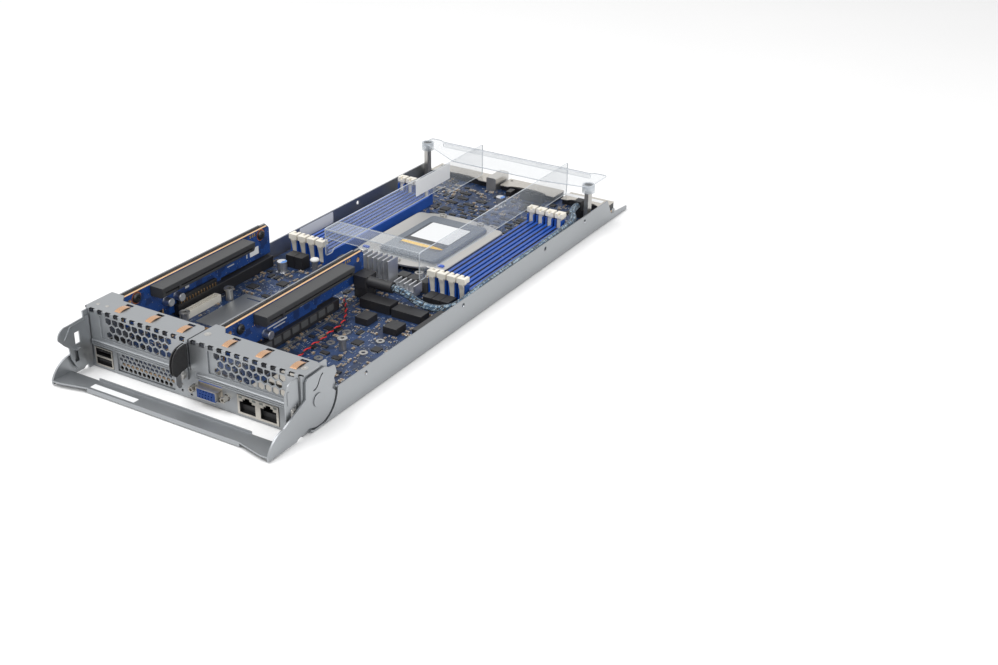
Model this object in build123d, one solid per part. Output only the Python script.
from build123d import *
import math
import os

os.makedirs("parts", exist_ok=True)

# Half-width 1U compute node of a 2U four-node server. X runs to the right seen from
# the front, Y to the rear from the face of the front panel, Z up from the underside.

# Tray sheet
TRAY_WIDTH = 172.0
SHEET = 1.0
WALL_HEIGHT = 19.0
WALL_FRONT = 6.5
WALL_REAR = 396.0
WALL_TIP = 433.0
TIP_HEIGHT = 3.0
TONGUE_ROOT = 404.0
TONGUE_ROOT_HEIGHT = 5.5
FLOOR_REAR = 415.0
TONGUE_REAR = 429.0
TONGUE_RADIUS = 8.0
TONGUES = [(39.0, 80.0), (-21.0, 31.0), (-80.0, -37.0)]
WALL_HOLE_RADIUS = 1.6
WALL_HOLES = [62.0, 176.0, 292.0, 356.0]
EAR_INSET = 2.2
EAR_HEIGHT = 40.0
EAR_REAR = 26.0
EAR_RADIUS = 8.0
EAR_TAB = 4.0

# Handle and its studs
PIVOT_Y = 14.5
PIVOT_Z = 18.6
STUD_RADIUS = 3.0
STUD_HEAD_RADIUS = 4.4
STUD_HEAD = 0.5
PIVOT_CLEARANCE = 0.05
SIDE_CLEARANCE = 0.3
ARM_SHEET = 1.2
ARM_LOBE_RADIUS = 17.3
STEP_CLEARANCE = 1.2
STEP_WALL = 1.0
STEP_START = -118.0
STEP_END = 0.0
ARM_TOP = 37.3
BAR_FRONT = -33.0
BAR_WAIST = -28.5
BAR_REAR = -17.5
BAR_LEVEL = 2.4
BAR_LIP = 2.1
BAR_RIB = 1.4

# Release clip at the left ear
CLIP_SHEET = 0.8
CLIP_GAP = 0.15
CLIP_REAR = -0.6
CLIP_FRONT = -26.8
CLIP_TOP = 36.5

# Front panel
NODE_HEIGHT = 41.0
PANEL = 1.0
PANEL_HALF = 82.6
PANEL_TOP = 20.4
SEAM = 0.5
GASKET_LOW = 15.8
GASKET_HIGH = 19.8
GASKET_DEPTH = 1.2
USB_BAY = (-80.4, -65.0, 1.6, 15.0)
MEZZ_BAY = (-61.5, -14.0, 2.0, 15.0)
VGA_BAY = (5.6, 24.4, 4.2, 14.4)
VGA_SCREW_Z = 9.3
VGA_SCREWS = (2.6, 27.4)
VGA_SCREW_HOLE = 2.4
LAN_BAY = (35.6, 67.4, 1.4, 14.8)
SIDE_BAY = (71.8, 78.6, 4.6, 13.4)
TAB_HOLES = [(-8.0, 4.0), (-8.0, 8.4)]
TAB_HOLE_RADIUS = 0.9

# Main board and what lies below it
BOARD_LOW = 5.0
BOARD = 1.6
BOARD_TOP = BOARD_LOW + BOARD
BOARD_HALF = 84.2
BOARD_FRONT = 3.0
BOARD_REAR = 413.0
BOARD_CORNER = 6.0
BOARD_BAY = (-50.0, -20.5, 30.0, 70.0)
FOIL = 0.6
FOIL_HALF = 82.0
REAR_BAR_FRONT = 398.0
STANDOFF_RADIUS = 2.6
STANDOFF_HOLE = 3.2
STANDOFFS = [(-74.0, 26.0), (-8.0, 26.0), (74.0, 60.0), (-57.0, 150.0), (30.0, 140.0),
             (-57.0, 364.0), (46.0, 364.0), (-6.0, 384.0)]

# Rear connectors
CONNECTORS = [(43.5, 83.0), (-14.0, 37.0), (-83.0, -27.0)]
CONNECTOR_FRONT = 399.0
CONNECTOR_REAR = 413.6
CONNECTOR_TOP = 12.0
CONNECTOR_WALL = 1.1
CONNECTOR_SLOT = (7.6, 10.8)
CONNECTOR_DEPTH = 9.0
SHELL = 0.7
SHELL_SCOOP = 5.0
GUIDE_X = -20.5
GUIDE_WIDTH = 9.0
GUIDE_FRONT = 392.0
GUIDE_TOP = 18.0
GUIDE_BORE = 2.8
GUIDE_BORE_Z = 13.4
GUIDE_MOUTH = 1.2

# Processor
CPU_X = 1.5
CPU_Y = 266.0
FRAME_WIDTH = 78.0
FRAME_LENGTH = 88.0
FRAME_TOP = 12.2
FRAME_SHEET = 1.4
FRAME_RADIUS = 5.0
FRAME_SKIRT = 4.2
FRAME_TAB = 7.0
CAP_X = 4.5
CAP_WIDTH = 51.0
CAP_LENGTH = 75.0
CAP_RISE = 2.6
CAP_RADIUS = 4.0
FRAME_SCREW_RADIUS = 2.8
HEATSINK_POST_RADIUS = 3.2
HEATSINK_POST_X = 23.0
HEATSINK_POST_REACH = 51.5
HEATSINK_BORE = 1.5

# Memory sockets
SLOT_PITCH = 8.13
SLOTS_PER_BANK = 4
LEFT_SLOT_X = -47.9
RIGHT_SLOT_X = 49.1
SOCKET_FRONT = 199.0
SOCKET_REAR = 335.0
SOCKET_WIDTH = 6.4
SOCKET_TOP = 14.6
GROOVE = 1.8
GROOVE_DEPTH = 4.6
TOWER_LENGTH = 5.0
TOWER_TOP = 20.0
KEY_Y = 263.0
LATCH_WIDTH = 3.6
LATCH_HEAD_WIDTH = 6.6
LATCH_TOP = 25.3
LATCH_REACH = 6.6
LATCH_PIN_RADIUS = 1.0
LATCH_PIN_Z = 9.4
LATCH_PIN_INSET = 2.2
LATCH_GAP = 0.3
LATCH_OPEN = 20.0

# Risers: the left cage sits on the left half, the middle cage on the right half
CAGE_SHEET = 1.0
CAGE_TOP = 38.6
CAGE_REAR = 177.0
CAGE_LOW = 15.5
CAGE_FOLD = 3.0
FLANGE_DEPTH = 19.0
WINDOW_LOW = 22.0
WINDOW_HIGH = 37.6
VENT_SIZE = 2.4
VENT_Z = 38.9
VENT_PITCH = 6.4
VENTS = 11
LEFT_CAGE_X = -82.6
MIDDLE_CAGE_X = 1.0
LEFT_WINDOW = (-73.0, -13.5)
MIDDLE_WINDOW = (14.5, 74.0)
CARD = 1.6
CARD_GAP = 0.8
CARD_TOP = 37.4
CARD_FRONT = 26.0
CARD_REAR = 174.5
CARD_LOW = 16.0
CARD_FOOT = (62.0, 120.0)
CARD_FOOT_LOW = 9.0
CARD_SLOT_FRONT = 52.0
CARD_SLOT_REAR = 146.0
CARD_SLOT_TOP = 34.4
CARD_SLOT_LOW = 27.4
CARD_SLOT_REACH = 8.6
CARD_SLOT_GROOVE = 1.8
RISER_SOCKET_HEIGHT = 8.0
RISER_SOCKET_WALL = 2.4
SLOT_COVER_SHEET = 0.8
HEX_SIZE = 4.7
HEX_PITCH = 5.5
HEX_ROWS = 3
HOLE_SIZE = 2.7
HOLE_PITCH = 3.7
HOLE_ROWS = 4
SPRING_OFFSET = 24.0
SPRING_PITCH = 25.5
SPRINGS = 3
SPRING_WIDTH = 4.6
SPRING_RISE = 1.0
SPRING_SHEET = 0.3
PULL_FRONT = -14.0
PULL_LOW = 12.5
PULL_TOP = 39.0
LEFT_PULL_X = -8.6
MIDDLE_PULL_X = 75.4
PAD_LOW = 22.5
PAD_SHEET = 0.9
FOOT_WIDTH = 7.2
SCREW_OFFSET = 4.7
SCREW_Z = 17.0
THUMB_RADIUS = 3.3
THUMB_SHANK = 1.5
THUMB_FRONT = -9.0
THUMB_REACH = 5.0

# Air duct
DUCT_WALL = 1.2
DUCT_TOP = 39.4
PILLAR_LEFT = (-80.0, 387.0)
PILLAR_RIGHT = (80.0, 372.0)
PILLAR_RADIUS = 3.3
PILLAR_TOP = 33.0
BOSS_RADIUS = 5.0
DUCT_PLATE_FRONT = 358.0
DUCT_PLATE_REAR = 386.0
DUCT_LIP = 9.0
DUCT_SIDE_LEFT = -39.5
DUCT_SIDE_RIGHT = 41.5
DUCT_BEAM_FRONT = 181.0
DUCT_BEAM_REAR = 213.0
DUCT_BEAM_TOP = 34.0
DUCT_LEG_LOW = 18.5
DUCT_SIDE_LOW = 27.0


def block(x0, x1, y0, y1, z0, z1):
    """A box between two corners."""
    return Pos((x0 + x1) / 2, (y0 + y1) / 2, (z0 + z1) / 2) * Box(x1 - x0, y1 - y0, z1 - z0)


def outline_x(points, x0, x1):
    """A side outline of (y, z) points carried from x0 to x1."""
    face = make_face(Plane.YZ.offset(x0) * Polyline(*points, close=True))
    return extrude(face, amount=x1 - x0, dir=(1, 0, 0))


def outline_y(points, y0, y1):
    """A front outline of (x, z) points carried from y0 to y1."""
    face = make_face(Plane.XZ.offset(-y0) * Polyline(*points, close=True))
    return extrude(face, amount=y1 - y0, dir=(0, 1, 0))


def outline_z(points, z0, z1):
    """A plan outline of (x, y) points carried from z0 to z1."""
    face = make_face(Plane.XY.offset(z0) * Polyline(*points, close=True))
    return extrude(face, amount=z1 - z0, dir=(0, 0, 1))


def rod_x(x0, x1, y, z, radius):
    """A round bar along X."""
    return Pos((x0 + x1) / 2, y, z) * Rot(0, 90, 0) * Cylinder(radius, x1 - x0)


def rod_y(y0, y1, x, z, radius):
    """A round bar along Y."""
    return Pos(x, (y0 + y1) / 2, z) * Rot(90, 0, 0) * Cylinder(radius, y1 - y0)


def rod_z(x, y, z0, z1, radius):
    """An upright round bar."""
    return Pos(x, y, (z0 + z1) / 2) * Cylinder(radius, z1 - z0)


def round_plate(x0, x1, y0, y1, z0, z1, radius):
    """A flat plate with rounded corners in plan."""
    corner = RectangleRounded(x1 - x0, y1 - y0, radius)
    return Pos((x0 + x1) / 2, (y0 + y1) / 2, z0) * extrude(corner, amount=z1 - z0)


def closed_face(*curves):
    """The face inside curves that follow each other end to end."""
    return make_face(Wire([edge for curve in curves for edge in curve.edges()]))


def hexagon_bank(x0, x1, z0, z1, size, pitch, rows, y0, y1):
    """Staggered hexagon holes in a plate that stands along X."""
    row_step = (z1 - z0) / rows
    spots = []
    for row in range(rows):
        z = z0 + row_step * (row + 0.5)
        shift = pitch / 2 if row % 2 else 0
        count = int((x1 - x0 - shift - size) // pitch) + 1
        spots += [(x0 + size / 2 + shift + pitch * i, z) for i in range(count)]
    cell = Rot(0, 0, 90) * RegularPolygon(size / 2, 6, major_radius=False)
    cells = Sketch() + [Pos(x, z) * cell for x, z in spots]
    return extrude(Plane.XZ.offset(-y1) * cells, amount=y1 - y0)


def mirrored(shape):
    """The shape and its mirror image across the middle plane."""
    return shape + mirror(shape, about=Plane.YZ)


def ear_outline(front):
    """Side outline of a front ear, with its rear upper corner rounded."""
    width = EAR_REAR - front
    base = RectangleRounded(width, EAR_HEIGHT, 0.4)
    plate = Pos(front + width / 2, EAR_HEIGHT / 2) * base
    disc = Pos(PIVOT_Y, PIVOT_Z) * Circle(step_inner() + STEP_WALL / 2)
    room = Pos((front + PIVOT_Y) / 2 + 20, EAR_HEIGHT / 2) * Rectangle(PIVOT_Y - front + 40, EAR_HEIGHT)
    return plate + (disc & room)


def step_inner():
    """Inner radius of the circular step round the handle's lobe."""
    return ARM_LOBE_RADIUS + STEP_CLEARANCE


def ear_inner():
    """Inner face of the right ear."""
    return TRAY_WIDTH / 2 - SHEET - EAR_INSET


def wall_side():
    """The right wall with its holes and rear slope, its set-back ear and the circular step."""
    outer = TRAY_WIDTH / 2
    points = [(WALL_FRONT, 0), (WALL_TIP, 0), (WALL_TIP, TIP_HEIGHT), (TONGUE_ROOT, TONGUE_ROOT_HEIGHT),
              (WALL_REAR, WALL_HEIGHT), (WALL_FRONT, WALL_HEIGHT)]
    wall = outline_x(points, outer - SHEET, outer)
    wall -= rod_x(outer - 2 * SHEET, outer + SHEET, PIVOT_Y, PIVOT_Z, step_inner() + STEP_WALL / 2)
    for y in WALL_HOLES:
        wall -= rod_x(outer - 2 * SHEET, outer + SHEET, y, WALL_HEIGHT - 4.0, WALL_HOLE_RADIUS)
    ring = Circle(step_inner() + STEP_WALL) - Circle(step_inner())
    half_turn = 60.0
    sector_points = [(0, 0)]
    steps = 6
    for i in range(steps + 1):
        angle = math.radians(STEP_START + (STEP_END - STEP_START) * i / steps)
        sector_points.append((half_turn * math.cos(angle), half_turn * math.sin(angle)))
    ring &= make_face(Polyline(*sector_points, close=True))
    ring &= Pos(0, half_turn - PIVOT_Z) * Rectangle(2 * half_turn, 2 * half_turn)
    step = extrude(Plane.YZ.offset(ear_inner()) * (Pos(PIVOT_Y, PIVOT_Z) * ring),
                   amount=outer - ear_inner())
    return wall + step


def handle_stud():
    """Headed stud on the right ear that the handle turns on."""
    start = ear_inner() + SHEET
    head = start + SIDE_CLEARANCE + ARM_SHEET + 0.15
    stud = rod_x(start, head, PIVOT_Y, PIVOT_Z, STUD_RADIUS)
    return stud + rod_x(head, head + STUD_HEAD, PIVOT_Y, PIVOT_Z, STUD_HEAD_RADIUS)


def tray_shell():
    """Bent sheet tray: floor with rear tongues, walls, ears and handle studs."""
    half = TRAY_WIDTH / 2
    floor = block(-half, half, WALL_FRONT, FLOOR_REAR, 0, SHEET)
    floor += block(-ear_inner() - SHEET, ear_inner() + SHEET, 0, WALL_FRONT, 0, SHEET)
    for x0, x1 in TONGUES:
        floor += round_plate(x0, x1, FLOOR_REAR - 2 * TONGUE_RADIUS, TONGUE_REAR, 0, SHEET, TONGUE_RADIUS)
    for side in (-1, 1):
        low, high = sorted((side * (half - SHEET), side * (half - 4 * SHEET)))
        floor += block(low, high, FLOOR_REAR, WALL_TIP - 4.0, 0, SHEET)
    tray = floor + mirrored(wall_side())
    right_ear = extrude(Plane.YZ.offset(ear_inner()) * ear_outline(PANEL), amount=SHEET)
    left_ear = extrude(Plane.YZ.offset(-ear_inner() - SHEET) * ear_outline(-EAR_TAB), amount=SHEET)
    for piece in (right_ear, left_ear, handle_stud(), mirror(handle_stud(), about=Plane.YZ)):
        tray += piece
    return tray


def arm_outline():
    """Side outline of a handle arm: bar end, strut, upper lobe with its notch, lower lobe."""
    low_angle = math.radians(-121.0)
    low_end = (PIVOT_Y + ARM_LOBE_RADIUS * math.cos(low_angle), PIVOT_Z + ARM_LOBE_RADIUS * math.sin(low_angle))
    mid = math.radians(-60.0)
    middle = (PIVOT_Y + ARM_LOBE_RADIUS * math.cos(mid), PIVOT_Z + ARM_LOBE_RADIUS * math.sin(mid))
    high_end = (PIVOT_Y + 13.8, PIVOT_Z + 1.4)
    rim = math.radians(-6.0)
    rim_end = (PIVOT_Y + ARM_LOBE_RADIUS * math.cos(rim), PIVOT_Z + ARM_LOBE_RADIUS * math.sin(rim))
    curves = [
        Polyline(high_end, (PIVOT_Y + 16.5, PIVOT_Z + 7.9), (PIVOT_Y + 18.8, PIVOT_Z + 10.4),
                 (PIVOT_Y + 17.6, ARM_TOP - 3.6), (PIVOT_Y + 12.8, ARM_TOP - 3.0),
                 (PIVOT_Y + 7.6, ARM_TOP), (PIVOT_Y - 8.6, ARM_TOP - 0.6), (PIVOT_Y - 10.6, ARM_TOP - 2.6),
                 (PIVOT_Y - 11.4, 23.6), (-17.6, 14.4)),
        ThreePointArc((-17.6, 14.4), (-27.6, 10.4), (BAR_FRONT, BAR_LEVEL + 1.0)),
        Polyline((BAR_FRONT, BAR_LEVEL + 1.0), (BAR_FRONT, 0.4), (-7.0, 0.4), (-5.6, 1.6), low_end),
        ThreePointArc(low_end, middle, rim_end),
        Line(rim_end, high_end),
    ]
    return closed_face(*curves)


def arm_slot():
    """The S-shaped slot of an arm as a curved band."""
    spine = Spline((20.3, 34.0), (17.2, 31.6), (15.0, 28.4), (10.6, 26.4))
    return trace(spine, 1.1)


def handle():
    """Bail handle: two flat arms and the bar with widened ends, front lip and rear rib."""
    inner = ear_inner() + SHEET + SIDE_CLEARANCE
    face = Plane.YZ.offset(inner) * (arm_outline() - arm_slot())
    sheet = extrude(face, amount=ARM_SHEET, dir=(1, 0, 0))
    sheet -= rod_x(inner - 1, inner + 2 * ARM_SHEET, PIVOT_Y, PIVOT_Z, STUD_RADIUS + PIVOT_CLEARANCE)
    arms = mirrored(sheet)
    end = inner + ARM_SHEET
    flare = 25.0
    plan = [(-end, BAR_FRONT), (-end + 6, BAR_FRONT), (-end + flare, BAR_WAIST), (end - flare, BAR_WAIST),
            (end - 6, BAR_FRONT), (end, BAR_FRONT), (end, BAR_REAR), (-end, BAR_REAR)]
    bar = outline_z(plan, BAR_LEVEL, BAR_LEVEL + SHEET)
    bar += block(-end + flare, end - flare, BAR_WAIST, BAR_WAIST + SHEET, BAR_LEVEL - BAR_LIP, BAR_LEVEL)
    bar += block(-end + flare, end - flare, BAR_REAR, BAR_REAR + 0.8, BAR_LEVEL, BAR_LEVEL + SHEET + BAR_RIB)
    return arms + bar


def release_clip():
    """Sheet spring at the left ear, with an embossed rim, two slots and a bent tab."""
    x0 = -ear_inner() + CLIP_GAP
    upper = Polyline((CLIP_REAR, 4.0), (CLIP_REAR, CLIP_TOP), (-19.0, CLIP_TOP - 1.0))
    bulge = ThreePointArc((-19.0, CLIP_TOP - 1.0), (-25.4, 33.0), (CLIP_FRONT, 28.6))
    lower = Polyline((CLIP_FRONT, 28.6), (-22.4, 23.4), (-19.0, 20.4), (-18.0, 12.0), (-14.2, 4.0), (CLIP_REAR, 4.0))
    face = Plane.YZ.offset(x0) * closed_face(upper, bulge, lower)
    plate = extrude(face, amount=CLIP_SHEET, dir=(1, 0, 0))
    plate -= outline_x([(-13.6, 21.0), (-9.6, 21.0), (-9.6, 29.0), (-13.6, 29.0)], x0 - 1, x0 + 2)
    plate -= outline_x([(-15.4, 9.0), (-11.8, 9.0), (-11.8, 18.0), (-15.4, 18.0)], x0 - 1, x0 + 2)
    rib = outline_x([(-22.4, 27.0), (-21.0, 27.0), (-16.2, 33.6), (-3.0, 34.4), (-3.0, 35.2), (-16.6, 34.6)],
                    x0 + CLIP_SHEET, x0 + CLIP_SHEET + 0.5)
    tab = block(x0 + CLIP_SHEET, x0 + CLIP_SHEET + 2.6, -15.4, -11.8, 18.2, 19.0)
    return plate + rib + tab


def bay(size, depth=4.0):
    """A rectangular cutter through the front panel for the bay (x0, x1, z0, z1)."""
    x0, x1, z0, z1 = size
    return block(x0, x1, -depth, depth, z0, z1)


def gasket(x0, x1):
    """Ribbed conductive gasket bar across the panel."""
    ribs = 3
    rib = (GASKET_HIGH - GASKET_LOW) / ribs
    points = [(0, GASKET_LOW)]
    for i in range(ribs):
        base = GASKET_LOW + rib * i
        points += [(-0.5, base), (-GASKET_DEPTH, base + rib * 0.25), (-GASKET_DEPTH, base + rib * 0.75)]
    points += [(-0.5, GASKET_HIGH), (0, GASKET_HIGH)]
    return outline_x(points, x0, x1)


def front_panel():
    """Lower front panel with the port bays, a lower tab with two holes, and the gasket bars."""
    panel = block(-PANEL_HALF, PANEL_HALF, 0, PANEL, SHEET, PANEL_TOP)
    for size in (USB_BAY, MEZZ_BAY, VGA_BAY, LAN_BAY, SIDE_BAY):
        panel -= bay(size)
    for x in VGA_SCREWS:
        panel -= rod_y(-4, 4, x, VGA_SCREW_Z, VGA_SCREW_HOLE)
    for x, z in TAB_HOLES:
        panel -= rod_y(-4, 4, x, z, TAB_HOLE_RADIUS)
    for z in (3.0, 6.0):
        panel -= block(-1.6, 0.0, -4, 4, z - 0.7, z + 0.7)
    for x in (LEFT_PULL_X + SCREW_OFFSET, MIDDLE_PULL_X + SCREW_OFFSET):
        panel -= rod_y(-4, 4, x, SCREW_Z, THUMB_SHANK + PIVOT_CLEARANCE)
    panel += gasket(-PANEL_HALF + 1.5, LEFT_PULL_X - 1.0)
    panel += gasket(SEAM + 4.5, MIDDLE_PULL_X - 1.0)
    return panel


def mezzanine_blank():
    """Perforated blank behind the mezzanine bay, with its shelf, and the grey sheet farther back."""
    x0, x1, z0, z1 = MEZZ_BAY
    plate = block(x0 - 1.5, x1 + 1.5, PANEL, PANEL + SLOT_COVER_SHEET, BOARD_TOP + 0.1, z1 + 0.8)
    plate += block(x0 + 0.2, x1 - 0.2, PANEL, PANEL + SLOT_COVER_SHEET, z0 + 0.2, BOARD_TOP + 0.1)
    plate -= hexagon_bank(x0 + 1.2, x1 - 1.0, z0 + 1.0, z1 - 0.4, HOLE_SIZE, HOLE_PITCH, HOLE_ROWS,
                          PANEL - 1, PANEL + 2)
    sheet = block(-61.0, -21.0, 72.0, 124.0, BOARD_TOP, BOARD_TOP + 0.6)
    sheet -= block(-56.0, -34.0, 118.0, 119.6, BOARD_TOP - 1, BOARD_TOP + 2)
    return plate + sheet


def usb_ports():
    """Two stacked sockets: a shield with two mouths and their tongues."""
    x0, x1, z0, z1 = USB_BAY
    depth = 17.0
    gap = 0.3
    shield = block(x0 + gap, x1 - gap, -0.3, depth, BOARD_TOP, z1 - gap)
    shield += block(x0 + gap, x1 - gap, -0.3, BOARD_FRONT - 0.2, z0 + gap, BOARD_TOP)
    middle = (z0 + z1) / 2
    for low, high in ((z0 + 1.1, middle - 0.7), (middle + 0.7, z1 - 1.1)):
        mouth = block(x0 + 1.2, x1 - 1.2, -1, 9.0, low, high)
        if low < BOARD_TOP:
            mouth = block(x0 + 1.2, x1 - 1.2, -1, BOARD_FRONT - 1.2, low, high)
        shield -= mouth
        centre = low + (high - low) * 0.62
        reach = 8.9 if low > BOARD_TOP else BOARD_FRONT - 1.3
        shield += block(x0 + 2.6, x1 - 2.6, 0.6, reach + 0.2, centre - 0.6, centre + 0.6)
    return shield


def vga_port():
    """D-shaped video socket with fifteen contact holes, and two hexagon jack screws."""
    x0, x1, z0, z1 = VGA_BAY
    middle = (x0 + x1) / 2
    centre = (z0 + z1) / 2
    top, low, height = 8.2, 7.0, 3.6
    outline = [(middle - top, centre + height), (middle + top, centre + height),
               (middle + low, centre - height), (middle - low, centre - height)]
    body = block(x0 - 1.0, x1 + 1.0, PANEL, 14.0, BOARD_TOP, z1 + 0.5)
    body += outline_y(outline, -4.6, PANEL)
    for row in range(3):
        for column in range(5):
            x = middle + (column - 2) * 2.3 + (row - 1) * 0.5
            body -= rod_y(-6, -3.2, x, centre + (row - 1) * 2.0, 0.5)
    for x in VGA_SCREWS:
        nut = Pos(x, 0, VGA_SCREW_Z) * Rot(90, 0, 0) * extrude(RegularPolygon(2.1, 6), amount=4.2)
        nut += rod_y(0, PANEL + 1.5, x, VGA_SCREW_Z, 1.4)
        nut -= rod_y(-5, -2.0, x, VGA_SCREW_Z, 1.0)
        body += nut
    return body


def lan_ports():
    """Two network sockets side by side in one shield, each with its keyed mouth."""
    x0, x1, z0, z1 = LAN_BAY
    gap = 0.3
    body = block(x0 + gap, x1 - gap, -0.4, 19.0, BOARD_TOP, z1 - gap)
    body += block(x0 + gap, x1 - gap, -0.4, BOARD_FRONT - 0.2, z0 + gap, BOARD_TOP)
    half = (x1 - x0) / 2
    for i in range(2):
        centre = x0 + half * (i + 0.5)
        mouth = block(centre - 6.0, centre + 6.0, -1, 15.0, BOARD_TOP + 0.8, z1 - 4.2)
        mouth += block(centre - 6.0, centre + 6.0, -1, BOARD_FRONT - 1.0, z0 + 1.6, BOARD_TOP + 0.8)
        mouth += block(centre - 3.6, centre + 3.6, -1, 15.0, z1 - 4.3, z1 - 2.7)
        mouth += block(centre - 1.8, centre + 1.8, -1, 15.0, z1 - 2.8, z1 - 1.3)
        body -= mouth
    return body


def main_board():
    """Printed circuit board with rounded rear corners and the rectangular mezzanine bay."""
    board = block(-BOARD_HALF, BOARD_HALF, BOARD_FRONT, BOARD_REAR, BOARD_LOW, BOARD_TOP)
    corners = board.edges().filter_by(Axis.Z).sort_by(Axis.Y)[-2:]
    board = fillet(corners, BOARD_CORNER)
    x0, x1, y0, y1 = BOARD_BAY
    board -= block(x0, x1, y0, y1, BOARD_LOW - 1, BOARD_TOP + 1)
    ear = block(ear_inner() - 0.4, BOARD_HALF + 1, 0, PIVOT_Y + step_inner() + STEP_WALL + 0.6,
                BOARD_LOW - 1, BOARD_TOP + 1)
    return board - mirrored(ear)


def board_insulator():
    """Black sheet on the floor below the board, with the stiffening bar under the rear edge."""
    sheet = block(-FOIL_HALF, FOIL_HALF, BOARD_FRONT + 2, REAR_BAR_FRONT, SHEET, SHEET + FOIL)
    sheet += block(-FOIL_HALF, FOIL_HALF, REAR_BAR_FRONT, BOARD_REAR - 0.6, SHEET, BOARD_LOW)
    for x, y in STANDOFFS:
        sheet -= rod_z(x, y, 0, BOARD_LOW, STANDOFF_HOLE)
    return sheet


def connector_body(x0, x1):
    """Rear edge connector: a black body with two mouths and their contact tongues."""
    body = block(x0, x1, CONNECTOR_FRONT, CONNECTOR_REAR, BOARD_TOP, CONNECTOR_TOP - SHELL)
    middle = (x0 + x1) / 2
    low, high = CONNECTOR_SLOT
    for left, right in ((x0 + CONNECTOR_WALL, middle - 0.8), (middle + 0.8, x1 - CONNECTOR_WALL)):
        body -= block(left, right, CONNECTOR_REAR - CONNECTOR_DEPTH, CONNECTOR_REAR + 1, low, high)
        centre = (low + high) / 2
        body += block(left + 0.8, right - 0.8, CONNECTOR_REAR - CONNECTOR_DEPTH, CONNECTOR_REAR - 2.0,
                      centre - 0.5, centre + 0.5)
    return body


def backplane_connectors():
    """The three rear connectors."""
    return [connector_body(x0, x1) for x0, x1 in CONNECTORS]


def connector_shells():
    """Nickel covers of the rear connectors, each with a curved scoop and a corner hole."""
    shells = []
    for x0, x1 in CONNECTORS:
        front = CONNECTOR_FRONT - 3.0
        plate = block(x0, x1, front, CONNECTOR_REAR + 0.4, CONNECTOR_TOP - SHELL, CONNECTOR_TOP)
        width = x1 - x0
        scoop = Pos((x0 + x1) / 2, front - SHELL_SCOOP * 0.2) * Ellipse(width * 0.36, SHELL_SCOOP * 1.2)
        plate -= extrude(Plane.XY.offset(CONNECTOR_TOP - 2) * scoop, amount=4)
        plate -= rod_z(x0 + 3.6, CONNECTOR_REAR - 4.0, CONNECTOR_TOP - 2, CONNECTOR_TOP + 1, 1.3)
        shells.append(plate)
    return shells


def guide_block():
    """Metal guide block between the connectors, with a chamfered guide-pin bore."""
    x0 = GUIDE_X - GUIDE_WIDTH / 2
    body = block(x0, x0 + GUIDE_WIDTH, GUIDE_FRONT, CONNECTOR_REAR, BOARD_TOP, GUIDE_TOP)
    body = chamfer(body.edges().filter_by(Axis.Y).group_by(Axis.Z)[-1], 0.8)
    body -= rod_y(GUIDE_FRONT + 4.0, CONNECTOR_REAR + 1, GUIDE_X, GUIDE_BORE_Z, GUIDE_BORE)
    mouth = Pos(GUIDE_X, CONNECTOR_REAR - GUIDE_MOUTH / 2, GUIDE_BORE_Z) * Rot(90, 0, 0)
    body -= mouth * Cone(GUIDE_BORE + GUIDE_MOUTH, GUIDE_BORE, GUIDE_MOUTH)
    return body


def frame_bounds():
    """Plan of the processor frame as x0, x1, y0, y1."""
    return (CPU_X - FRAME_WIDTH / 2, CPU_X + FRAME_WIDTH / 2, CPU_Y - FRAME_LENGTH / 2, CPU_Y + FRAME_LENGTH / 2)


def cap_bounds():
    """Plan of the plastic cap."""
    return (CAP_X - CAP_WIDTH / 2, CAP_X + CAP_WIDTH / 2, CPU_Y - CAP_LENGTH / 2, CPU_Y + CAP_LENGTH / 2)


def cpu_socket():
    """Black socket body below the frame."""
    x0, x1, y0, y1 = frame_bounds()
    low = FRAME_TOP - FRAME_SHEET
    body = round_plate(x0 + 2.5, x1 - 2.5, y0 + 2, y1 - 2, BOARD_TOP, low, 2.0)
    cx0, cx1, cy0, cy1 = cap_bounds()
    return body - block(cx0 + 6, cx1 - 6, cy0 + 6, cy1 - 6, low - 1.6, low + 1)


def cpu_frame():
    """Retention frame: a plate with rolled side skirts, a window and curved end tabs."""
    x0, x1, y0, y1 = frame_bounds()
    low = FRAME_TOP - FRAME_SHEET
    plate = round_plate(x0, x1, y0, y1, low, FRAME_TOP, FRAME_RADIUS)
    long_edges = plate.edges().filter_by(Axis.Y).group_by(Axis.Z)[-1]
    plate = fillet(long_edges, FRAME_SHEET * 0.8)
    lobe = Pos(CPU_X, y0 + 2.0) * Ellipse(FRAME_WIDTH * 0.32, FRAME_TAB + 2.0)
    tail = Pos(CPU_X, y1 - 2.0) * Ellipse(FRAME_WIDTH * 0.40, FRAME_TAB)
    plate += extrude(Plane.XY.offset(low) * (lobe + tail), amount=FRAME_SHEET)
    cx0, cx1, cy0, cy1 = cap_bounds()
    plate -= round_plate(cx0 + 1.5, cx1 - 1.5, cy0 + 1.5, cy1 - 1.5, low - 1, FRAME_TOP + 1, 3.0)
    for side in (x0, x1 - FRAME_SHEET):
        skirt = block(side, side + FRAME_SHEET, y0 + 7, y1 - 7, low - FRAME_SKIRT, low + 0.4)
        plate += skirt
    for x, y in frame_screw_spots():
        plate -= rod_z(x, y, low - 1, FRAME_TOP + 1, 1.8)
    return plate


def frame_screw_spots():
    """The three screws that hold the frame: one at the front tab, two at the rear tab."""
    x0, x1, y0, y1 = frame_bounds()
    return [(CPU_X, y0 - 2.2), (CPU_X - 17.0, y1 + 0.2), (CPU_X + 17.0, y1 + 0.2)]


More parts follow.
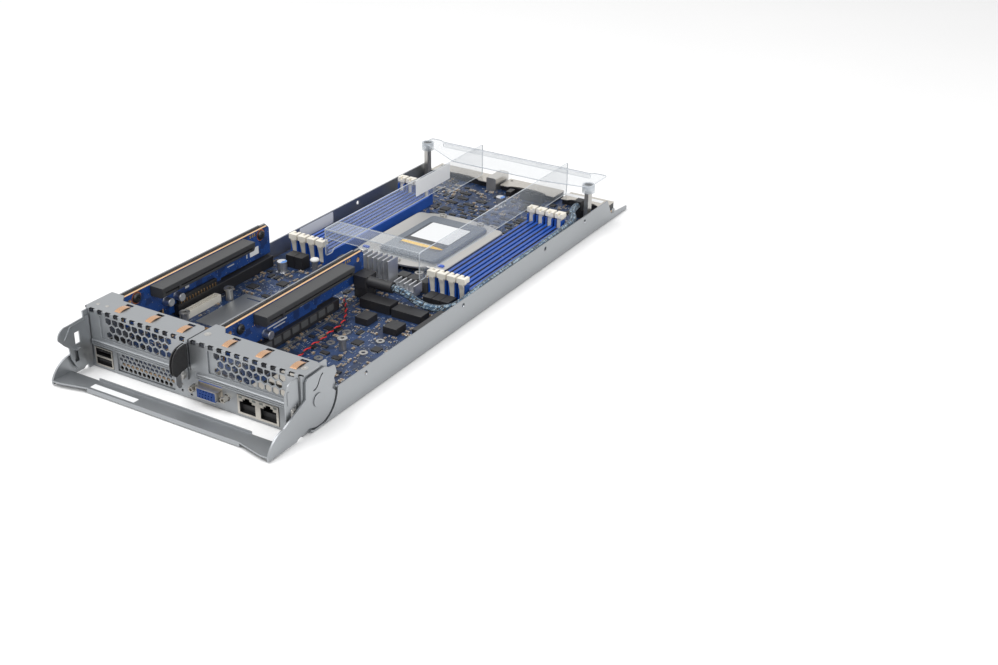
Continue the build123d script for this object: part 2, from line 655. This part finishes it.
def cpu_cap():
    """Grey protective cap with a raised rim and a shallow label field."""
    x0, x1, y0, y1 = cap_bounds()
    base = round_plate(x0, x1, y0, y1, FRAME_TOP, FRAME_TOP + CAP_RISE, CAP_RADIUS)
    base = chamfer(base.faces().sort_by(Axis.Z)[-1].edges(), 1.0)
    base += round_plate(x0 + 2, x1 - 2, y0 + 2, y1 - 2, FRAME_TOP - 1.2, FRAME_TOP, 2.5)
    field = round_plate(x0 + 7, x1 - 7, y0 + 14, y1 - 12, FRAME_TOP + CAP_RISE - 0.4,
                        FRAME_TOP + CAP_RISE + 1, 3.0)
    return base - field


def heatsink_post_spots():
    """The four threaded posts round the socket that a processor heatsink screws to."""
    return [(CPU_X + sx * HEATSINK_POST_X, CPU_Y + sy * HEATSINK_POST_REACH) for sx in (-1, 1) for sy in (-1, 1)]


def board_posts():
    """Floor stand-offs, frame screws, heatsink posts, mezzanine posts, drive posts and screw rings."""
    pieces = []
    for x, y in STANDOFFS:
        pieces.append(rod_z(x, y, SHEET, BOARD_LOW, STANDOFF_RADIUS))
    for x, y in frame_screw_spots():
        screw = rod_z(x, y, BOARD_TOP, FRAME_TOP, 1.7)
        screw += rod_z(x, y, FRAME_TOP, FRAME_TOP + 1.6, FRAME_SCREW_RADIUS)
        screw -= Pos(x, y, FRAME_TOP + 0.8) * extrude(RegularPolygon(1.2, 6), amount=2)
        pieces.append(screw)
    for x, y in heatsink_post_spots():
        post = rod_z(x, y, BOARD_TOP, BOARD_TOP + 3.4, HEATSINK_POST_RADIUS)
        pieces.append(post - rod_z(x, y, BOARD_TOP + 0.6, BOARD_TOP + 5, HEATSINK_BORE))
    for x, y, height, radius in ((-64.5, 66.0, 8.0, 2.7), (-64.5, 111.0, 8.0, 2.7), (46.0, 92.0, 7.6, 2.5),
                                 (-40.5, 177.0, 10.0, 2.0)):
        post = rod_z(x, y, BOARD_TOP, BOARD_TOP + height, radius)
        post += rod_z(x, y, BOARD_TOP + height, BOARD_TOP + height + 1.2, radius + 0.9)
        pieces.append(post - rod_z(x, y, BOARD_TOP + height - 3, BOARD_TOP + height + 3, radius - 1.3))
    for x, y in ((33.4, 113.7), (59.9, 114.4), (33.8, 95.4), (60.1, 95.1), (40.0, 74.0)):
        pieces.append(rod_z(x, y, BOARD_TOP, BOARD_TOP + 0.8, 3.0) - rod_z(x, y, BOARD_TOP, BOARD_TOP + 2, 1.3))
    return pieces


def duct_pillars():
    """Two tall hexagon pillars that carry the duct."""
    pillars = []
    for x, y in (PILLAR_LEFT, PILLAR_RIGHT):
        pillar = Pos(x, y, BOARD_TOP) * extrude(RegularPolygon(PILLAR_RADIUS, 6), amount=PILLAR_TOP - BOARD_TOP)
        pillars.append(pillar - rod_z(x, y, PILLAR_TOP - 6, PILLAR_TOP + 1, 1.5))
    return pillars


def slot_centres():
    """X of every memory socket, left bank from the outside in, then right bank from the inside out."""
    left = [LEFT_SLOT_X - SLOT_PITCH * i for i in reversed(range(SLOTS_PER_BANK))]
    return left + [RIGHT_SLOT_X + SLOT_PITCH * i for i in range(SLOTS_PER_BANK)]


def dimm_socket(x):
    """Memory socket: grooved body with its key, and a pair of end towers at each end."""
    half = SOCKET_WIDTH / 2
    body = block(x - half, x + half, SOCKET_FRONT, SOCKET_REAR, BOARD_TOP, SOCKET_TOP)
    body -= block(x - GROOVE / 2, x + GROOVE / 2, SOCKET_FRONT - 1, SOCKET_REAR + 1,
                  SOCKET_TOP - GROOVE_DEPTH, SOCKET_TOP + 1)
    body += block(x - GROOVE / 2, x + GROOVE / 2, KEY_Y, KEY_Y + 1.6, SOCKET_TOP - GROOVE_DEPTH, SOCKET_TOP - 0.6)
    bay_half = LATCH_WIDTH / 2 + LATCH_GAP
    for front, rear in ((SOCKET_FRONT - TOWER_LENGTH, SOCKET_FRONT), (SOCKET_REAR, SOCKET_REAR + TOWER_LENGTH)):
        tower = block(x - half, x + half, front, rear, BOARD_TOP, TOWER_TOP)
        tower -= block(x - bay_half, x + bay_half, front - 1, rear + 1, BOARD_TOP + 0.8, TOWER_TOP + 1)
        pin_y = front + LATCH_PIN_INSET if front < CPU_Y else rear - LATCH_PIN_INSET
        tower += rod_x(x - half, x + half, pin_y, LATCH_PIN_Z, LATCH_PIN_RADIUS)
        body += tower
    return body


def dimm_latch(x, end):
    """Socket latch at the front (end -1) or rear (end 1): a waisted lever under a notched head."""
    edge = SOCKET_FRONT - TOWER_LENGTH if end < 0 else SOCKET_REAR + TOWER_LENGTH
    pin_y = edge - end * LATCH_PIN_INSET
    low = BOARD_TOP + 1.6
    profile = [(pin_y - end * 1.5, low), (pin_y + end * 1.7, low), (pin_y + end * 1.7, LATCH_PIN_Z + 1.4),
               (edge + end * 0.6, TOWER_TOP - 3.0), (edge + end * 1.8, LATCH_TOP - 4.6),
               (edge + end * 1.8, LATCH_TOP), (edge - end * (LATCH_REACH - 1.8), LATCH_TOP),
               (edge - end * (LATCH_REACH - 1.8), LATCH_TOP - 2.6), (edge - end * 3.4, LATCH_TOP - 4.4),
               (pin_y - end * 1.5, LATCH_PIN_Z + 1.6)]
    lever = outline_x(profile, x - LATCH_WIDTH / 2, x + LATCH_WIDTH / 2)
    y0, y1 = sorted((edge + end * 1.8, edge - end * (LATCH_REACH - 1.8)))
    head = block(x - LATCH_HEAD_WIDTH / 2, x + LATCH_HEAD_WIDTH / 2, y0, y1, TOWER_TOP + 1.6, LATCH_TOP)
    notch_y = sorted((edge - end * 1.4, edge - end * LATCH_REACH))
    head -= block(x - 1.0, x + 1.0, notch_y[0], notch_y[1], LATCH_TOP - 1.6, LATCH_TOP + 1)
    lever -= block(x - 1.0, x + 1.0, notch_y[0], notch_y[1], LATCH_TOP - 1.6, LATCH_TOP + 1)
    lever += head
    return lever - rod_x(x - 5, x + 5, pin_y, LATCH_PIN_Z, LATCH_PIN_RADIUS + PIVOT_CLEARANCE)


def fin_bank(x0, x1, y0, y1, top, fins, fin=0.9, base=2.4, low=BOARD_TOP + 2.6):
    """Extruded heatsink: upright fins along Y on a base plate, raised on its transistors."""
    body = block(x0, x1, y0, y1, low, low + base)
    step = (x1 - x0 - fin) / (fins - 1)
    for i in range(fins):
        body += block(x0 + step * i, x0 + step * i + fin, y0, y1, low + base, top)
    body += block(x0 + 1.5, x1 - 1.5, y0 + 1.0, y1 - 1.0, BOARD_TOP, low)
    return body


def vrm_heatsinks():
    """The tall regulator heatsink and the two low ones beside it."""
    tall = fin_bank(-4.0, 22.6, 178.6, 190.4, 31.0, 7, fin=1.1, base=3.0)
    right = fin_bank(25.4, 43.0, 180.6, 190.4, 16.4, 5)
    left = fin_bank(-23.0, -5.6, 181.6, 192.0, 16.4, 6)
    return [tall, right, left]


def chokes():
    """Ferrite chokes as rounded blocks on the board."""
    pieces = []
    for x, y in ((41.2, 196.6), (31.9, 197.4), (22.6, 198.0), (-21.0, 199.0), (-30.4, 199.0)):
        pieces.append(round_plate(x - 4.1, x + 4.1, y - 4.1, y + 4.1, BOARD_TOP, BOARD_TOP + 8.2, 0.8))
    return pieces


def capacitor(x, y, radius, height):
    """Can capacitor: a square base, a can with the crimp groove, a vented top."""
    can = rod_z(x, y, BOARD_TOP + 1.0, BOARD_TOP + height, radius)
    groove = rod_z(x, y, BOARD_TOP + 1.8, BOARD_TOP + 2.4, radius + 1) - rod_z(x, y, BOARD_TOP, BOARD_TOP + 4, radius - 0.35)
    base = block(x - radius, x + radius, y - radius, y + radius, BOARD_TOP, BOARD_TOP + 1.0)
    return can - groove + base


def capacitors():
    """Can capacitors before the processor, along the right wall, at the left riser and at the rear."""
    spots = [(12.6, 198.0, 3.3, 8.4), (4.8, 198.2, 3.3, 8.4), (-3.0, 198.4, 3.3, 8.4), (-10.8, 198.6, 3.3, 8.4),
             (80.0, 245.7, 2.6, 7.2), (80.0, 236.4, 2.6, 7.2), (80.0, 227.1, 2.6, 7.2), (80.0, 205.7, 2.6, 7.2),
             (-62.5, 167.0, 3.6, 9.0), (4.4, 365.3, 3.6, 8.6)]
    return [capacitor(*spot) for spot in spots]


def riser_x(cage_x):
    """X of the near face of a riser card beside its cage wall."""
    return cage_x + CAGE_SHEET + CARD_GAP


def riser_sockets():
    """Sockets on the board that take the feet of the riser cards."""
    sockets = []
    for cage_x in (LEFT_CAGE_X, MIDDLE_CAGE_X):
        x0 = riser_x(cage_x)
        wall = RISER_SOCKET_WALL
        y0, y1 = CARD_FOOT
        outer_x0 = max(x0 - wall, -ear_inner() + 0.9)
        body = block(outer_x0, x0 + CARD + wall, y0 - 3, y1 + 3, BOARD_TOP, BOARD_TOP + RISER_SOCKET_HEIGHT)
        body -= block(x0 - 0.1, x0 + CARD + 0.1, y0 - 0.3, y1 + 0.3, CARD_FOOT_LOW - 0.1, BOARD_TOP + 20)
        sockets.append(body)
    return sockets


def riser_card(cage_x):
    """Riser board with its foot in the board socket."""
    x0 = riser_x(cage_x)
    y0, y1 = CARD_FOOT
    points = [(CARD_FRONT, CARD_LOW), (y0, CARD_LOW), (y0, CARD_FOOT_LOW), (y1, CARD_FOOT_LOW), (y1, CARD_LOW),
              (CARD_REAR, CARD_LOW), (CARD_REAR, CARD_TOP - 2), (CARD_REAR - 2, CARD_TOP),
              (CARD_FRONT + 2, CARD_TOP), (CARD_FRONT, CARD_TOP - 2)]
    card = outline_x(points, x0, x0 + CARD)
    for y in (CARD_FRONT + 6.5, CARD_REAR - 6.5):
        card -= rod_x(x0 - 1, x0 + CARD + 1, y, CARD_TOP - 5.0, 1.7)
    return card


def card_slot(cage_x):
    """Sixteen-lane card slot on the riser card, its mouth facing right."""
    x0 = riser_x(cage_x) + CARD
    reach = CARD_SLOT_REACH
    body = block(x0, x0 + reach, CARD_SLOT_FRONT, CARD_SLOT_REAR, CARD_SLOT_LOW, CARD_SLOT_TOP)
    middle = (CARD_SLOT_LOW + CARD_SLOT_TOP) / 2
    half = CARD_SLOT_GROOVE / 2
    key = CARD_SLOT_FRONT + 16.0
    for y0, y1 in ((CARD_SLOT_FRONT + 3.0, key), (key + 2.0, CARD_SLOT_REAR - 3.0)):
        body -= block(x0 + 1.2, x0 + reach + 1, y0, y1, middle - half, middle + half)
    return body


def riser_cage(cage_x, left, right, window, pull_x):
    """Riser cage of one half: card wall with a folded top, front window frame, top flange, pull plate."""
    x0 = cage_x
    wall_points = [(PANEL + 0.5, 21.0), (CARD_FRONT, CAGE_LOW + 2.5), (CARD_FOOT[0] - 6, CAGE_LOW),
                   (CAGE_REAR, CAGE_LOW), (CAGE_REAR, CAGE_TOP - 4), (CAGE_REAR - 4, CAGE_TOP),
                   (FLANGE_DEPTH, CAGE_TOP), (FLANGE_DEPTH - 3, NODE_HEIGHT - CAGE_SHEET),
                   (PANEL + 0.5, NODE_HEIGHT - CAGE_SHEET)]
    cage = outline_x(wall_points, x0, x0 + CAGE_SHEET)
    for y in (CARD_FRONT + 6.5, CARD_REAR - 6.5):
        cage += rod_x(x0 + CAGE_SHEET, x0 + CAGE_SHEET + CARD_GAP, y, CARD_TOP - 5.0, 2.6)
    cage += block(x0, x0 + CAGE_SHEET + CARD_GAP + CAGE_FOLD, FLANGE_DEPTH + 8, CAGE_REAR - 9, CAGE_TOP - 0.8, CAGE_TOP)
    frame = block(left, right, 0, PANEL, PANEL_TOP + 0.1, NODE_HEIGHT - CAGE_SHEET)
    frame -= block(window[0], window[1], -2, 3, WINDOW_LOW, WINDOW_HIGH)
    centre = (window[0] + window[1]) / 2
    for i in range(VENTS):
        x = centre + (i - (VENTS - 1) / 2) * VENT_PITCH
        frame -= block(x - VENT_SIZE / 2, x + VENT_SIZE / 2, -2, 3, VENT_Z - 0.6, VENT_Z + 0.6)
    top_left = left if left > 0 else -TRAY_WIDTH / 2
    top_right = right if left < 0 else TRAY_WIDTH / 2
    flange = [(top_left, 0), (top_right, 0), (top_right, FLANGE_DEPTH - 3), (top_right - 3, FLANGE_DEPTH),
              (x0 + 12, FLANGE_DEPTH), (x0 + 7, FLANGE_DEPTH + 6), (top_left, FLANGE_DEPTH + 6)]
    cage += frame + outline_z(flange, NODE_HEIGHT - CAGE_SHEET, NODE_HEIGHT)
    cage += block(x0, x0 + 7, FLANGE_DEPTH - 2, FLANGE_DEPTH + 6, CAGE_TOP - 0.8, NODE_HEIGHT - CAGE_SHEET)
    cage += block(x0, x0 + CAGE_SHEET, PANEL - 0.5, PANEL + 2, 21.0, NODE_HEIGHT - CAGE_SHEET)
    pull = outline_x([(-0.2, PULL_LOW), (-8.0, PULL_LOW), (PULL_FRONT + 1.5, PULL_LOW + 4),
                      (PULL_FRONT, PULL_LOW + 9), (PULL_FRONT, PULL_TOP - 8), (PULL_FRONT + 4, PULL_TOP - 1),
                      (-5.0, PULL_TOP), (-0.2, PULL_TOP)], pull_x, pull_x + CAGE_SHEET)
    foot = block(pull_x, pull_x + FOOT_WIDTH, -1.2, -0.2, PULL_LOW, SCREW_Z + 5)
    foot -= rod_y(-3, 1, pull_x + SCREW_OFFSET, SCREW_Z, THUMB_SHANK + PIVOT_CLEARANCE)
    bridge = block(pull_x, pull_x + CAGE_SHEET, -0.2, PANEL, PANEL_TOP + 0.4, PULL_TOP)
    return cage + pull + foot + bridge


def slot_cover(window):
    """Card slot filler behind the window, with three rows of hexagon holes."""
    plate = block(window[0] - 2.0, window[1] + 1.5, PANEL, PANEL + SLOT_COVER_SHEET,
                  PANEL_TOP + 0.6, NODE_HEIGHT - CAGE_SHEET - 2.6)
    plate -= hexagon_bank(window[0] + 4.0, window[1] - 0.6, WINDOW_LOW + 0.2, WINDOW_HIGH - 0.1,
                          HEX_SIZE, HEX_PITCH, HEX_ROWS, PANEL - 1, PANEL + 3)
    return plate


def spring_finger(x):
    """One arched contact finger on the top flange."""
    arc = ThreePointArc((4.6, NODE_HEIGHT), (9.8, NODE_HEIGHT + SPRING_RISE), (15.0, NODE_HEIGHT))
    inner = ThreePointArc((15.0 - 0.6, NODE_HEIGHT), (9.8, NODE_HEIGHT + SPRING_RISE - SPRING_SHEET),
                          (4.6 + 0.6, NODE_HEIGHT))
    face = closed_face(arc, Line(arc @ 1, inner @ 0), inner, Line(inner @ 1, arc @ 0))
    return extrude(Plane.YZ.offset(x - SPRING_WIDTH / 2) * face, amount=SPRING_WIDTH, dir=(1, 0, 0))


def spring_fingers(left):
    """The contact fingers of one half, counted from its left edge."""
    return [spring_finger(left + SPRING_OFFSET + SPRING_PITCH * i) for i in range(SPRINGS)]


def pull_pad():
    """Black finger pad over the upper part of the left pull plate."""
    x0 = LEFT_PULL_X - PAD_SHEET
    points = [(-1.2, PAD_LOW), (-8.0, PAD_LOW - 1.5), (PULL_FRONT, PAD_LOW + 4), (PULL_FRONT, PULL_TOP - 8),
              (PULL_FRONT + 4, PULL_TOP - 1), (-1.2, PULL_TOP - 0.2)]
    pad = outline_x(points, x0, x0 + PAD_SHEET)
    return pad + outline_x(points, LEFT_PULL_X + CAGE_SHEET, LEFT_PULL_X + CAGE_SHEET + PAD_SHEET)


def thumbscrew(x):
    """Captive thumbscrew: knurled head, slotted face and plain shank."""
    head = Pos(x, THUMB_FRONT, SCREW_Z) * Rot(-90, 0, 0)
    ring = extrude(RegularPolygon(THUMB_RADIUS, 18), amount=THUMB_REACH)
    knob = head * ring
    knob += rod_y(THUMB_FRONT + THUMB_REACH, -1.5, x, SCREW_Z, THUMB_RADIUS - 1.2)
    knob += rod_y(-1.5, PANEL + 2.0, x, SCREW_Z, THUMB_SHANK)
    knob -= block(x - 0.5, x + 0.5, THUMB_FRONT - 1, THUMB_FRONT + 1.0, SCREW_Z - 2.4, SCREW_Z + 2.4)
    knob -= block(x - 2.4, x + 2.4, THUMB_FRONT - 1, THUMB_FRONT + 1.0, SCREW_Z - 0.5, SCREW_Z + 0.5)
    return knob


def duct_boss(x, y):
    """Boss of the duct on a pillar, with its screw hole and the recess of the screw head."""
    boss = rod_z(x, y, PILLAR_TOP, DUCT_TOP, BOSS_RADIUS)
    boss -= rod_z(x, y, PILLAR_TOP - 1, DUCT_TOP + 1, 1.9)
    return boss - rod_z(x, y, DUCT_TOP - 2.4, DUCT_TOP + 1, 3.5)


def air_duct():
    """Clear moulded duct: rear plate with lips and bosses, two side walls, front channel beam on legs."""
    lx, ly = PILLAR_LEFT
    rx, ry = PILLAR_RIGHT
    low = DUCT_TOP - DUCT_WALL
    plan = [(lx - 2, ly - 4.8), (DUCT_SIDE_LEFT, DUCT_PLATE_FRONT), (DUCT_SIDE_RIGHT, DUCT_PLATE_FRONT),
            (rx, ry - 4.8), (rx + 2, ry + 4.8), (DUCT_SIDE_RIGHT + 12, DUCT_PLATE_REAR),
            (DUCT_SIDE_LEFT - 8, DUCT_PLATE_REAR), (lx + 12, ly + 1), (lx + 2, ly + 4.8)]
    duct = outline_z(plan, low, DUCT_TOP)
    duct += block(DUCT_SIDE_LEFT - 8, DUCT_SIDE_RIGHT + 12, DUCT_PLATE_REAR - DUCT_WALL, DUCT_PLATE_REAR,
                  DUCT_TOP - DUCT_LIP * 0.35, low)
    for x, y in (PILLAR_LEFT, PILLAR_RIGHT):
        duct -= rod_z(x, y, low - 1, DUCT_TOP + 1, BOSS_RADIUS - 0.2)
        duct += duct_boss(x, y)
    for x in (DUCT_SIDE_LEFT, DUCT_SIDE_RIGHT):
        side = [(DUCT_BEAM_FRONT, DUCT_LEG_LOW), (DUCT_BEAM_FRONT + 9, DUCT_LEG_LOW),
                (DUCT_BEAM_FRONT + 9, DUCT_SIDE_LOW - 1.5), (DUCT_BEAM_FRONT + 14, DUCT_SIDE_LOW),
                (DUCT_PLATE_FRONT - 10, DUCT_SIDE_LOW), (DUCT_PLATE_FRONT - 2, 21.0), (DUCT_PLATE_FRONT + 4, 12.6),
                (DUCT_PLATE_REAR + 12.5, 12.6), (DUCT_PLATE_REAR + 12.5, 22.0), (DUCT_PLATE_REAR + 9.0, 26.0),
                (DUCT_PLATE_REAR, DUCT_TOP - 6.0), (DUCT_PLATE_REAR, low), (DUCT_PLATE_FRONT, low),
                (DUCT_BEAM_REAR, DUCT_BEAM_TOP), (DUCT_BEAM_FRONT, DUCT_BEAM_TOP)]
        duct += outline_x(side, x - DUCT_WALL / 2, x + DUCT_WALL / 2)
    beam_low = DUCT_BEAM_TOP - DUCT_WALL
    duct += block(DUCT_SIDE_LEFT, DUCT_SIDE_RIGHT, DUCT_BEAM_FRONT, DUCT_BEAM_REAR, beam_low, DUCT_BEAM_TOP)
    duct -= block(-6.0, 25.0, DUCT_BEAM_FRONT + 3, DUCT_BEAM_FRONT + 12, beam_low - 1, DUCT_BEAM_TOP + 1)
    for x in (-2.0, 4.0, 10.0, 16.0):
        duct += block(x, x + DUCT_WALL, DUCT_BEAM_FRONT + 2, DUCT_BEAM_FRONT + 13, beam_low, DUCT_BEAM_TOP)
    duct += block(DUCT_SIDE_LEFT, DUCT_SIDE_RIGHT, DUCT_BEAM_REAR - DUCT_WALL, DUCT_BEAM_REAR,
                  DUCT_BEAM_TOP - 6.0, beam_low)
    return duct


def duct_screws():
    """Two dark cross-head screws that hold the duct to its pillars."""
    screws = []
    for x, y in (PILLAR_LEFT, PILLAR_RIGHT):
        head = rod_z(x, y, DUCT_TOP - 2.4, DUCT_TOP - 0.4, 3.2)
        head += rod_z(x, y, PILLAR_TOP - 5.0, DUCT_TOP - 2.4, 1.45)
        head -= block(x - 1.8, x + 1.8, y - 0.4, y + 0.4, DUCT_TOP - 1.6, DUCT_TOP + 1)
        head -= block(x - 0.4, x + 0.4, y - 1.8, y + 1.8, DUCT_TOP - 1.6, DUCT_TOP + 1)
        screws.append(head)
    return screws


def mezzanine_connector():
    """Cream mezzanine connector along Y, two contact rows round a centre rib."""
    body = block(-73.0, -67.6, 70.0, 106.0, BOARD_TOP, BOARD_TOP + 5.2)
    for x in (-71.9, -69.9):
        body -= block(x, x + 1.2, 72.0, 104.0, BOARD_TOP + 2.6, BOARD_TOP + 6)
    return body


def board_connectors():
    """Black board connectors: power blocks, card modules, rear header and small cream-coloured ones."""
    pieces = [
        block(-67.0, -59.8, 177.0, 186.0, BOARD_TOP, 16.2),
        block(-59.4, -52.2, 177.0, 186.0, BOARD_TOP, 16.2),
        block(18.0, 43.0, 150.0, 160.5, BOARD_TOP, 13.6),
        block(45.0, 69.0, 149.0, 159.5, BOARD_TOP, 12.6),
        block(53.0, 59.6, 176.0, 187.0, BOARD_TOP, 13.4),
        block(60.0, 66.6, 176.0, 187.0, BOARD_TOP, 13.4),
        block(67.0, 73.6, 176.0, 187.0, BOARD_TOP, 13.4),
        block(75.2, 80.4, 129.0, 163.0, BOARD_TOP, 13.8),
        block(30.0, 40.0, 128.0, 140.0, BOARD_TOP, 11.6),
        block(54.0, 64.5, 126.0, 138.0, BOARD_TOP, 11.6),
    ]
    header = block(9.5, 30.0, 388.5, 393.5, BOARD_TOP, BOARD_TOP + 7.4)
    header -= block(10.6, 28.9, 389.5, 392.5, BOARD_TOP + 1.2, BOARD_TOP + 9)
    header -= block(17.6, 21.9, 387.0, 395.0, BOARD_TOP + 4.6, BOARD_TOP + 9)
    pieces.append(header)
    pieces.append(block(-3.6, 0.8, 388.0, 396.0, BOARD_TOP, BOARD_TOP + 4.4))
    pieces.append(block(66.0, 74.0, 378.5, 386.0, BOARD_TOP, 13.0))
    return pieces


def coin_cell():
    """Coin cell in its black sleeve, lying on the right shield box."""
    return rod_z(73.0, 22.0, 16.0, 20.2, 9.0)


def shield_boxes():
    """Two metal shield boxes behind the right half of the front panel."""
    boxes = []
    for x0, x1, y0, y1 in ((64.5, 80.5, 20.5, 33.5), (42.0, 62.5, 20.5, 41.0)):
        box = block(x0, x1, y0, y1, BOARD_TOP, 16.0)
        box = fillet(box.edges().filter_by(Axis.Z), 1.2)
        boxes.append(box)
    return boxes


CABLE_RADIUS = 2.6
CABLE_ROUTE = [(35.4, 165.6, 19.4), (44.0, 165.6, 19.4), (56.0, 164.0, 14.2), (68.0, 164.2, 12.4),
               (78.6, 172.0, 12.4), (82.0, 186.0, 14.8), (82.0, 204.0, 16.9), (81.9, 248.0, 16.8),
               (82.1, 284.0, 16.8), (81.6, 318.0, 17.0), (78.0, 343.0, 17.6), (69.4, 360.0, 18.4),
               (69.4, 374.6, 18.4)]


def cable_radii():
    """Radius of each bend: 0.45 of the shorter run over the tangent of half the turn."""
    radii = []
    for a, b, c in zip(CABLE_ROUTE, CABLE_ROUTE[1:], CABLE_ROUTE[2:]):
        first = Vector(*b) - Vector(*a)
        second = Vector(*c) - Vector(*b)
        half_turn = math.radians(first.get_angle(second) / 2)
        radii.append(0.45 * min(first.length, second.length) / math.tan(half_turn))
    return radii


def signal_cable():
    """Braided cable along its whole route: from the plug to the right wall and back to the rear plug."""
    radii = cable_radii()
    print("cable bend radii", [round(r) for r in radii])
    path = FilletPolyline(*CABLE_ROUTE, radius=radii)
    section = Plane(origin=path @ 0, z_dir=path % 0) * Circle(CABLE_RADIUS)
    tube = sweep(section, path=path)
    print("cable length", round(path.length, 1), "volume ratio",
          round(tube.volume / (math.pi * CABLE_RADIUS ** 2 * path.length), 4))
    return tube


def cable_plug():
    """Angled front plug with its metal socket and boot, and the upright rear plug."""
    plug = block(4.6, 15.6, 161.4, 174.6, 15.0, 23.6)
    plug = fillet(plug.edges().filter_by(Axis.Z), 1.0)
    start = Vector(*CABLE_ROUTE[0])
    boot = rod_x(15.6, start.X, start.Y, start.Z, 4.0)
    plug += boot
    cage = block(5.2, 15.0, 162.0, 174.0, BOARD_TOP, 15.0)
    end = Vector(*CABLE_ROUTE[-1])
    rear = block(66.4, 72.4, end.Y, end.Y + 8.0, 14.0, 22.0)
    stem = block(67.0, 71.8, end.Y + 4.2, end.Y + 7.6, 13.0, 14.0)
    return [plug + cage, rear + stem]


def build():
    """Every node by name."""
    left_half = (-PANEL_HALF, -SEAM)
    right_half = (SEAM, PANEL_HALF)
    nodes = {
        "tray_shell": tray_shell(),
        "handle": handle(),
        "release_clip": release_clip(),
        "front_panel": front_panel(),
        "mezzanine_blank": mezzanine_blank(),
        "usb_ports": usb_ports(),
        "vga_port": vga_port(),
        "lan_ports": lan_ports(),
        "main_board": main_board(),
        "board_insulator": board_insulator(),
        "backplane_connectors": backplane_connectors(),
        "connector_shells": connector_shells(),
        "guide_block": guide_block(),
        "cpu_socket": cpu_socket(),
        "cpu_frame": cpu_frame(),
        "cpu_cap": cpu_cap(),
        "board_posts": board_posts(),
        "duct_pillars": duct_pillars(),
        "dimm_sockets": [dimm_socket(x) for x in slot_centres()],
        "vrm_heatsinks": vrm_heatsinks(),
        "chokes": chokes(),
        "capacitors": capacitors(),
        "riser_sockets": riser_sockets(),
        "mezzanine_connector": mezzanine_connector(),
        "board_connectors": board_connectors(),
        "coin_cell": coin_cell(),
        "shield_boxes": shield_boxes(),
        "signal_cable": signal_cable(),
        "cable_plug": cable_plug(),
        "left_riser_cage": riser_cage(LEFT_CAGE_X, *left_half, LEFT_WINDOW, LEFT_PULL_X),
        "left_slot_cover": slot_cover(LEFT_WINDOW),
        "left_riser_card": riser_card(LEFT_CAGE_X),
        "left_card_slot": card_slot(LEFT_CAGE_X),
        "left_spring_fingers": spring_fingers(-TRAY_WIDTH / 2),
        "middle_riser_cage": riser_cage(MIDDLE_CAGE_X, *right_half, MIDDLE_WINDOW, MIDDLE_PULL_X),
        "middle_slot_cover": slot_cover(MIDDLE_WINDOW),
        "middle_riser_card": riser_card(MIDDLE_CAGE_X),
        "middle_card_slot": card_slot(MIDDLE_CAGE_X),
        "middle_spring_fingers": spring_fingers(SEAM),
        "pull_pad": pull_pad(),
        "left_thumbscrew": thumbscrew(LEFT_PULL_X + SCREW_OFFSET),
        "middle_thumbscrew": thumbscrew(MIDDLE_PULL_X + SCREW_OFFSET),
        "air_duct": air_duct(),
        "duct_screws": duct_screws(),
    }
    for number, x in enumerate(slot_centres(), start=1):
        nodes[f"latch_front_{number}"] = dimm_latch(x, -1)
        nodes[f"latch_rear_{number}"] = dimm_latch(x, 1)
    return nodes


def centre_y():
    """Middle of the overall length, where the origin is set."""
    return (BAR_FRONT + WALL_TIP) / 2


def write_parts():
    """Write every node with the origin at the middle of the overall length."""
    for name, shape in build().items():
        pieces = shape if isinstance(shape, list) else [shape]
        solids = [solid for piece in pieces for solid in piece.solids()]
        placed = [Pos(0, -centre_y(), 0) * solid for solid in solids]
        export_step(placed[0] if len(placed) == 1 else Compound(children=placed), f"parts/{name}.step")


if __name__ == "__main__":
    write_parts()
